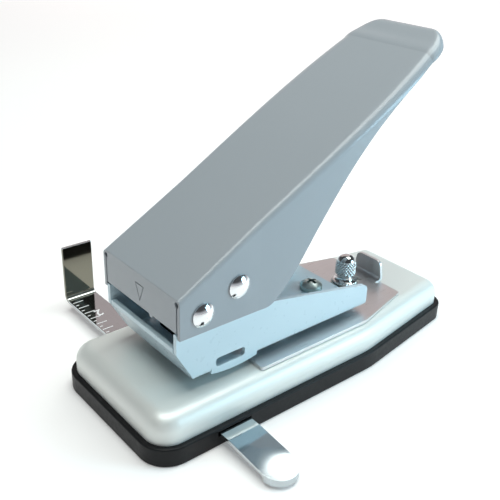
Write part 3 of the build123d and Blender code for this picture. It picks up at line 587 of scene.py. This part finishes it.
@dataclass
class PunchHead(SubAssembly):
    """Folded frame with the die, the guide block, the ram and its spring."""

    wire: float = 1.3
    turns: int = 6
    turn_steps: int = 32
    wire_sides: int = 12
    ram_stroke: float = 5.8
    finishes: dict[str, Finish] = field(default_factory=lambda: {
        "punch_frame": Finish.FRAME,
        "frame_screws": Finish.SCREW,
        "frame_spacers": Finish.ZINC,
        "punch_guide": Finish.BLOCK,
        "guide_screws": Finish.SCREW,
        "die_plate": Finish.TOOL,
        "die_screws": Finish.SCREW,
        "punch_ram": Finish.TOOL,
        "punch_blade": Finish.TOOL,
        "blade_pin": Finish.SCREW,
    })

    def build_spring(self) -> bpy.types.Object:
        """Winds the return spring in the CAD spring's place.

        Returns:
            The spring, which rides on the base.
        """
        low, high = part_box("return_spring")
        axis = Vector(((low.x + high.x) / 2, (low.y + high.y) / 2, 0.0))
        wire_radius = self.wire * MM / 2
        rise = (high.z - low.z - 2 * wire_radius) / self.turns
        shape = bmesh.new()
        start = Matrix.Translation((high.x - wire_radius, axis.y, low.z + wire_radius))
        ring = bmesh.ops.create_circle(shape, segments=self.wire_sides, radius=wire_radius,
                                       matrix=start @ Matrix.Rotation(math.pi / 2, 4, "X"))
        bmesh.ops.spin(shape, geom=ring["verts"] + shape.edges[:], cent=axis, axis=(0, 0, 1),
                       dvec=(0, 0, rise / self.turn_steps), angle=2 * math.pi * self.turns,
                       steps=self.turns * self.turn_steps)
        open_edges = [edge for edge in shape.edges if edge.is_boundary]
        bmesh.ops.holes_fill(shape, edges=open_edges, sides=0)
        bmesh.ops.recalc_face_normals(shape, faces=shape.faces)
        for face in shape.faces:
            face.smooth = len(face.verts) == 4  # the wire's cut ends stay flat
        spring = make_object("return_coil", shape, Finish.SPRING)
        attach(spring, "base")
        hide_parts("return_spring")
        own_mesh(spring)
        return spring

    def build(self) -> None:
        """Dresses the head's nodes and winds its spring."""
        self.dress_nodes()
        log.info("made %s", self.build_spring().name)


@dataclass
class HandLever(SubAssembly):
    """Folded lever on its two riveted pins."""

    finishes: dict[str, Finish] = field(default_factory=lambda: {
        "lever": Finish.LEVER,
        "pivot_pin": Finish.PIN,
        "pivot_spacer": Finish.ZINC,
        "drive_pin": Finish.PIN,
        "drive_spacers": Finish.ZINC,
    })


def quarter(steps: int) -> list[float]:
    """Lists the angles of a quarter turn, in radians, without its start."""
    return [math.radians(90 * step / steps) for step in range(1, steps + 1)]


def wave(turns: float) -> float:
    """Gives a triangle wave, 1 at whole turns and 0 at half ones."""
    return abs(2 * (turns % 1.0) - 1)


@dataclass
class DepthStop(SubAssembly):
    """Sliding plate with its knurled thumbscrew.

    The knob's heights count from the underside of its toothed foot.
    """

    washer_gap: float = 0.05
    shank_radius: float = 2.5
    shank_chamfer: float = 0.3
    foot_height: float = 1.0
    foot_round: float = 0.15
    foot_undercut: float = 0.2
    foot_teeth: int = 24
    tooth_depth: float = 0.3
    waist_radius: float = 3.2
    waist_height: float = 3.2
    waist_steps: int = 8
    body_radius: float = 4.25
    body_foot: float = 4.3
    body_steps: int = 6
    knurl_top: float = 8.4
    knurl_count: int = 20
    knurl_pitch: float = 1.6
    knurl_depth: float = 0.42
    knurl_end: float = 10.1
    knurl_ease: float = 0.3
    knurl_slope: float = 1.7
    knurl_rows: int = 26
    shoulder: float = 0.12
    dome_rows: int = 36
    dome_fullness: float = 0.8
    turn_steps: int = 192
    finishes: dict[str, Finish] = field(default_factory=lambda: {
        "depth_plate": Finish.PLATE,
        "knob_washer": Finish.SCREW,
        "clamp_nut": Finish.ZINC,
    })

    def profile(self, foot_radius: float, shank_foot: float,
                top: float) -> list[tuple[float, float]]:
        """Half outline of the knob, from the shank's end round to the crown.

        Args:
            foot_radius: radius of the toothed foot.
            shank_foot: height of the screw's end, below 0.
            top: height of the crown.

        Returns:
            Points as (radius, height).
        """
        shank, chamfer = self.shank_radius, self.shank_chamfer
        foot_edge = foot_radius - self.foot_round
        points = [(0.0, shank_foot), (shank - chamfer, shank_foot), (shank, shank_foot + chamfer)]
        points += [(shank, 0.0), (foot_radius - self.foot_undercut, 0.0)]
        points += [(foot_radius, self.foot_round),
                   (foot_radius, self.foot_height - self.foot_round),
                   (foot_edge, self.foot_height)]
        reach = foot_edge - self.waist_radius
        rise = self.waist_height - self.foot_height
        points += [(self.waist_radius + reach * (1 - math.sin(turn)),
                    self.foot_height + rise * (1 - math.cos(turn)))
                   for turn in quarter(self.waist_steps)]
        reach = self.body_radius - self.waist_radius
        rise = self.body_foot - self.waist_height
        points += [(self.waist_radius + reach * (1 - math.cos(turn)),
                    self.waist_height + rise * math.sin(turn))
                   for turn in quarter(self.body_steps)]
        rise = self.knurl_top - self.body_foot
        points += [(self.body_radius, self.body_foot + rise * row / self.knurl_rows)
                   for row in range(1, self.knurl_rows + 1)]
        dome_radius = self.body_radius - self.shoulder
        dome_foot = self.knurl_top + self.shoulder
        points.append((dome_radius, dome_foot))
        rise = top - dome_foot
        points += [(dome_radius * math.cos(turn) ** self.dome_fullness,
                    dome_foot + rise * math.sin(turn))
                   for turn in quarter(self.dome_rows)[:-1]]
        points.append((0.0, top))
        return points

    def knurl(self, angle: float, height: float) -> float:
        """Depth of the diamond knurl at a place.

        Args:
            angle: angle round the knob, in turns.
            height: height above the foot.

        Returns:
            How far the surface lies below the ridges.
        """
        around = angle * self.knurl_count
        along = height / self.knurl_pitch
        ridge = min(1 - wave(around + along), 1 - wave(around - along))
        ends = min((height - self.body_foot) / self.knurl_ease,
                   (self.knurl_end - height) / self.knurl_ease)
        ease = max(0.0, min(1.0, ends))
        return self.knurl_depth * (1 - min(1.0, self.knurl_slope * ridge)) * ease

    def cut_grip(self, shape: bmesh.types.BMesh, foot_z: float) -> None:
        """Cuts the knurl into the knob's body and the teeth into its foot.

        Args:
            shape: the turned knob round the origin, in metres.
            foot_z: height of the foot's underside, in millimetres.
        """
        for vert in shape.verts:
            height = vert.co.z / MM - foot_z
            radius = math.hypot(vert.co.x, vert.co.y) / MM
            if radius < self.waist_radius:
                continue
            turn = math.atan2(vert.co.y, vert.co.x) / (2 * math.pi)
            if self.body_foot < height < self.knurl_end:
                depth = self.knurl(turn, height)
            elif 0.0 < height < self.foot_height:
                depth = self.tooth_depth * wave(turn * self.foot_teeth)
            else:
                continue
            vert.co.xy *= (radius - depth) / radius

    def build_knob(self) -> bpy.types.Object:
        """Turns the knob, cuts its knurl and teeth, and puts it in the CAD knob's place.

        Returns:
            The knob, which rides on the lock screw.
        """
        low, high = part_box("lock_knob")
        _, washer_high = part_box("knob_washer")
        foot_z = washer_high.z / MM + self.washer_gap
        centre = Vector(((low.x + high.x) / 2, (low.y + high.y) / 2, 0.0))
        foot_radius = (high.x - low.x) / 2 / MM
        outline = self.profile(foot_radius, low.z / MM - foot_z, high.z / MM - foot_z)
        shape = bmesh.new()
        points = [shape.verts.new((radius * MM, 0.0, (height + foot_z) * MM))
                  for radius, height in outline]
        edges = [shape.edges.new(pair) for pair in zip(points, points[1:])]
        bmesh.ops.spin(shape, geom=points + edges, cent=(0, 0, 0), axis=(0, 0, 1), dvec=(0, 0, 0),
                       angle=2 * math.pi, steps=self.turn_steps, use_merge=True)
        bmesh.ops.remove_doubles(shape, verts=shape.verts, dist=WELD_M)
        self.cut_grip(shape, foot_z)
        bmesh.ops.recalc_face_normals(shape, faces=shape.faces)
        bmesh.ops.translate(shape, verts=shape.verts, vec=centre)
        for face in shape.faces:
            face.smooth = True
        knob = make_object("knurled_knob", shape, Finish.KNOB)
        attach(knob, "lock_screw")
        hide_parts("lock_knob")
        return knob

    def build(self) -> None:
        """Dresses the plate and makes the knob."""
        self.dress_nodes()
        log.info("made %s", self.build_knob().name)


@dataclass
class SideGuide(SubAssembly):
    """Bright strip with a printed scale, on its leaf spring."""

    face_height: float = 5.6
    mark_thick: float = 0.04
    mark_width: float = 0.45
    mark_round_share: float = 0.3
    mark_round_steps: int = 3
    long_mark: float = 4.6
    short_mark: float = 1.4
    mark_spacing: float = 2.5
    first_mark_x: float = -70.0
    mark_count: int = 15
    edge_gap: float = 0.5
    numeral: str = "2"
    numeral_height: float = 4.6
    numeral_x: float = -57.6
    numeral_y: float = -46.9
    numeral_turn_deg: float = -90.0
    font_factor: float = 1.35
    stroke_growth: float = 0.08
    curve_steps: int = 6
    finishes: dict[str, Finish] = field(default_factory=lambda: {
        "side_guide": Finish.GUIDE,
        "guide_spring": Finish.SPRING,
        "leaf_screws": Finish.SCREW,
    })

    def build_marks(self, face_z: float, front_y: float) -> bpy.types.Object:
        """Prints the scale's lines on the strip.

        Args:
            face_z: height of the strip's face, in metres.
            front_y: the strip's front edge, in metres.

        Returns:
            The marks as one piece.
        """
        thick = self.mark_thick * MM
        shape = bmesh.new()
        for index in range(self.mark_count):
            length = self.long_mark if index % 2 == 0 else self.short_mark
            x = (self.first_mark_x + index * self.mark_spacing) * MM
            y = front_y + (self.edge_gap + length / 2) * MM
            size = Matrix.Diagonal((self.mark_width * MM, length * MM, thick, 1.0))
            spot = Matrix.Translation((x, y, face_z + thick / 2))
            mark = bmesh.ops.create_cube(shape, size=1.0, matrix=spot @ size)
            upright = [edge for edge in {e for v in mark["verts"] for e in v.link_edges}
                       if abs(edge.verts[0].co.z - edge.verts[1].co.z) > thick / 2]
            bmesh.ops.bevel(shape, geom=upright, affect="EDGES", offset_type="OFFSET",
                            offset=self.mark_width * MM * self.mark_round_share,
                            segments=self.mark_round_steps, profile=0.5, material=-1)
        return make_object("scale_marks", shape, Finish.INK)

    def build_numeral(self, face_z: float) -> bpy.types.Object:
        """Prints the scale's numeral.

        Args:
            face_z: height of the strip's face, in metres.

        Returns:
            The numeral as a mesh piece.
        """
        thick = self.mark_thick * MM
        text = bpy.data.curves.new("scale_numeral_text", "FONT")
        text.body = self.numeral
        text.align_x = "CENTER"
        text.align_y = "CENTER"
        text.size = self.numeral_height * self.font_factor * MM
        text.extrude = thick / 2
        text.offset = self.stroke_growth * MM
        text.resolution_u = self.curve_steps
        source = bpy.data.objects.new("scale_numeral_source", text)
        bpy.context.scene.collection.objects.link(source)
        bpy.context.view_layer.update()
        flat = source.evaluated_get(bpy.context.evaluated_depsgraph_get())
        mesh = bpy.data.meshes.new_from_object(flat)
        bpy.data.objects.remove(source)
        bpy.data.curves.remove(text)
        mesh.name = "scale_numeral"
        place = Matrix.Translation((self.numeral_x * MM, self.numeral_y * MM, face_z + thick / 2))
        mesh.transform(place @ Matrix.Rotation(math.radians(self.numeral_turn_deg), 4, "Z"))
        return place_mesh("scale_numeral", mesh, Finish.INK)

    def build(self) -> None:
        """Dresses the strip and prints its scale."""
        self.dress_nodes()
        low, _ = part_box("side_guide")
        face_z = self.face_height * MM
        for piece in (self.build_marks(face_z, low.y), self.build_numeral(face_z)):
            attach(piece, "side_guide_slider")
            log.info("made %s", piece.name)


@dataclass(frozen=True)
class SoftBox:
    """One soft light of the studio, in metres and watts."""

    name: str
    place: tuple[float, float, float]
    target: tuple[float, float, float]
    width: float
    height: float
    power: float
    colour: Colour

    def hang(self) -> None:
        """Adds the light to the scene, facing its target."""
        lamp = bpy.data.lights.new(self.name, "AREA")
        lamp.shape = "RECTANGLE"
        lamp.size = self.width
        lamp.size_y = self.height
        lamp.energy = self.power
        lamp.color = self.colour
        holder = bpy.data.objects.new(self.name, lamp)
        holder.location = self.place
        sight = Vector(self.target) - Vector(self.place)
        holder.rotation_euler = sight.to_track_quat("-Z", "Y").to_euler()
        bpy.context.scene.collection.objects.link(holder)


@dataclass
class Studio:
    """Pale floor, soft lights and the camera, in metres, but its lens and sensor in millimetres."""

    camera_place: tuple[float, float, float] = (0.18349, -0.17158, 0.16852)
    camera_right: tuple[float, float, float] = (0.635469, 0.771386, 0.033799)
    camera_up: tuple[float, float, float] = (-0.363303, 0.260091, 0.894631)
    camera_lens: float = 53.89
    camera_sensor: float = 36.0
    camera_nearest: float = 0.01
    floor_half: float = 6.0
    floor_parts: int = 4
    sky: Colour = (0.90, 0.94, 1.0)
    sky_strength: float = 0.07
    horizon_strength: float = 0.56
    horizon_rise: float = 0.12
    sky_rise: float = 0.34
    lamps: tuple[SoftBox, ...] = (
        SoftBox("overhead", (0.0, 0.14, 0.9), (0.0, 0.14, 0.0), 0.46, 1.1, 10.0,
                (0.94, 1.0, 0.98)),
        SoftBox("handle_side", (0.34, 0.30, 0.17), (0.0, 0.03, 0.07), 0.2, 0.2, 1.26,
                (0.50, 0.83, 1.0)),
        SoftBox("left_rear", (-0.80, 0.63, 0.5), (0.0, 0.0, 0.04), 0.9, 0.9, 1.4,
                (1.0, 0.82, 0.79)),
    )

    def build_floor(self) -> None:
        """Lays the floor."""
        shape = bmesh.new()
        bmesh.ops.create_grid(shape, x_segments=self.floor_parts, y_segments=self.floor_parts,
                              size=self.floor_half)
        floor = make_object("studio_floor", shape, Finish.FLOOR)

    def build_sky(self) -> None:
        """Fills the room with a dim light over a pale horizon that meets the floor."""
        world = bpy.data.worlds.new("studio_room")
        world.use_nodes = True
        tree = world.node_tree
        background = tree.nodes["Background"]
        fill(background, Color=(*self.sky, 1.0))
        split = tree.nodes.new("ShaderNodeSeparateXYZ")
        fade = tree.nodes.new("ShaderNodeMapRange")
        fill(fade, From_Min=self.horizon_rise, From_Max=self.sky_rise,
             To_Min=self.horizon_strength, To_Max=self.sky_strength)
        direction = tree.nodes.new("ShaderNodeTexCoord").outputs["Generated"]
        tree.links.new(direction, split.inputs[0])
        tree.links.new(split.outputs["Z"], fade.inputs["Value"])
        tree.links.new(fade.outputs["Result"], background.inputs["Strength"])
        bpy.context.scene.world = world

    def build_camera(self) -> None:
        """Sets the camera where the photograph was taken."""
        data = bpy.data.cameras.new("photo_camera")
        data.lens = self.camera_lens
        data.sensor_width = self.camera_sensor
        data.clip_start = self.camera_nearest
        camera = bpy.data.objects.new("photo_camera", data)
        right, up = Vector(self.camera_right), Vector(self.camera_up)
        turn = Matrix((right, up, right.cross(up))).transposed().to_4x4()
        camera.matrix_world = Matrix.Translation(self.camera_place) @ turn
        bpy.context.scene.collection.objects.link(camera)
        bpy.context.scene.camera = camera

    def build(self) -> None:
        """Builds the studio."""
        self.build_floor()
        self.build_sky()
        for lamp in self.lamps:
            lamp.hang()
        self.build_camera()
        bpy.context.scene.view_settings.view_transform = "Standard"
        log.info("built the studio")


def main() -> None:
    """Builds every sub-assembly in order and reports it."""
    logging.basicConfig(level=logging.INFO, format="%(name)s: %(message)s")
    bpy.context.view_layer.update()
    for part in (Base(), PunchHead(), HandLever(), DepthStop(), SideGuide(), Studio()):
        part.build()
        log.info("finished %s", type(part).__name__)


if __name__ == "__main__":
    main()
